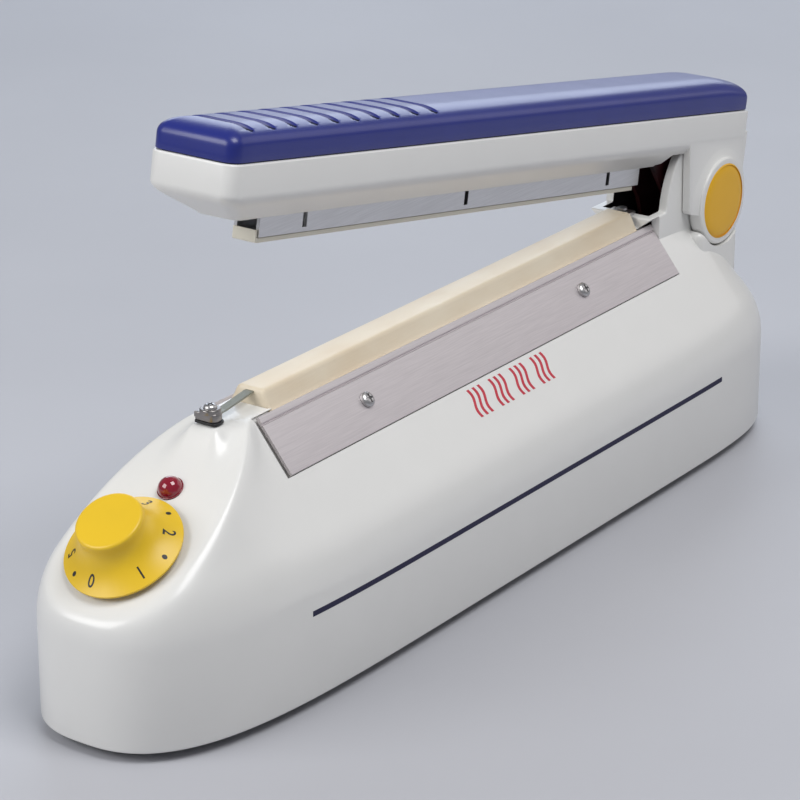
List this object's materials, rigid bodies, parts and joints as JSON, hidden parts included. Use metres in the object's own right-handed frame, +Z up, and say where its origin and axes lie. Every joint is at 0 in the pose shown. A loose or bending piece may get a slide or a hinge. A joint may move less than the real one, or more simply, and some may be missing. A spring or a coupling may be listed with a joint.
{
  "type": "impulse heat sealer",
  "caption": "Table-top impulse heat sealer: ivory wedge housing with a timer knob and lamp, sprung hinged arm with a blue grip, and a seal bar under a release sheet.",
  "frame": {"origin": "centre of the bounding box's bottom, on the table under the four feet, with the arm sprung open as in the picture", "axes": "+Y along the body from the knob at the front (-Y) to the hinge at the rear (+Y), +X to the right seen from the knob end, +Z up"},
  "size_m": [0.081, 0.3638, 0.1788],
  "materials": {
    "ivory_plastic": "satin injection-moulded ivory white",
    "blue_grip": "soft satin deep blue",
    "yellow_plastic": "satin golden yellow",
    "red_lens": "clear red",
    "ptfe_cloth": "cream PTFE-coated glass cloth",
    "silicone": "cream silicone, matt",
    "satin_steel": "satin",
    "clamp_plate": "satin, faintly pink grey",
    "aluminium": "extruded, satin",
    "black_steel": "black",
    "brass": "turned",
    "black_plastic": "black moulded",
    "rubber": "black, matt",
    "copper_winding": "varnished copper wire under tape",
    "circuit_board": "green solder mask",
    "spring_steel": "drawn wire"
  },
  "bodies": {
    "base": {"housing": "ivory_plastic", "base_plate": "satin_steel", "cord_gland": "black_plastic", "seal_bar_carrier": "aluminium", "insulator_strip": "ptfe_cloth", "heater_ribbon": "satin_steel", "ptfe_sheet": "ptfe_cloth", "sheet_clamp_right": "clamp_plate", "sheet_clamp_left": "clamp_plate", "front_terminal": "satin_steel", "front_terminal_screw": "satin_steel", "rear_terminal": "satin_steel", "rear_terminal_screw": "satin_steel", "transformer_core": "satin_steel", "transformer_coil": "copper_winding", "transformer_bolt_1": "satin_steel", "transformer_bolt_2": "satin_steel", "timer_board": "circuit_board", "relay": "black_plastic", "capacitor": "black_plastic", "timer_potentiometer": "black_plastic", "potentiometer_nut": "brass", "lamp_lens": "red_lens", "lamp_diode": "red_lens", "microswitch": "black_plastic", "switch_bracket": "satin_steel", "hinge_bush_right": "brass", "hinge_bush_left": "brass", "return_spring": "spring_steel", "foot_1": "rubber", "base_screw_1": "satin_steel", "foot_2": "rubber", "base_screw_2": "satin_steel", "foot_3": "rubber", "base_screw_3": "satin_steel", "foot_4": "rubber", "base_screw_4": "satin_steel", "clamp_screw_right_front": "satin_steel", "clamp_screw_right_rear": "satin_steel", "clamp_screw_left_front": "satin_steel", "clamp_screw_left_rear": "satin_steel"},
    "arm": {"arm_shell": "ivory_plastic", "grip_cover": "blue_grip", "arm_frame": "black_steel", "hinge_pin": "satin_steel", "hinge_cap_right": "yellow_plastic", "hinge_cap_left": "yellow_plastic", "bar_pin_front": "satin_steel", "bar_pin_middle": "satin_steel", "bar_pin_rear": "satin_steel", "bar_spring_front": "spring_steel", "bar_spring_rear": "spring_steel"},
    "press_bar": {"press_bar": "aluminium", "silicone_pad": "silicone"},
    "timer_knob": {"timer_knob": "yellow_plastic", "knob_spindle": "satin_steel"},
    "switch_plunger": {"switch_plunger": "yellow_plastic"}
  },
  "joints": [
    {"name": "arm_hinge", "type": "hinge", "parent": "base", "child": "arm", "pos_m": [0, 0.1603, 0.0854], "axis": [1, 0, 0], "range_deg": [0, 10.2], "stiffness_Nm_per_rad": 0.6, "springref_deg": -45.84, "deforming": ["return_spring"]},
    {"name": "press_bar_slide", "type": "slide", "parent": "arm", "child": "press_bar", "axis": [0, 0.1785, 0.9839], "range_m": [0, 0.003], "stiffness_N_per_m": 4000, "springref_m": -0.002, "deforming": ["bar_spring_front", "bar_spring_rear"]},
    {"name": "timer_knob_turn", "type": "hinge", "parent": "base", "child": "timer_knob", "pos_m": [0, -0.1585, 0.05652], "axis": [0, -0.515, 0.8572], "range_deg": [-150, 150]},
    {"name": "switch_plunger_slide", "type": "slide", "parent": "base", "child": "switch_plunger", "axis": [0, 1, 0], "range_m": [0, 0.002]}
  ],
  "couplings": [
    {"joint": "switch_plunger_slide", "follows": "arm_hinge", "m_per_rad": 0.0112}
  ]
}
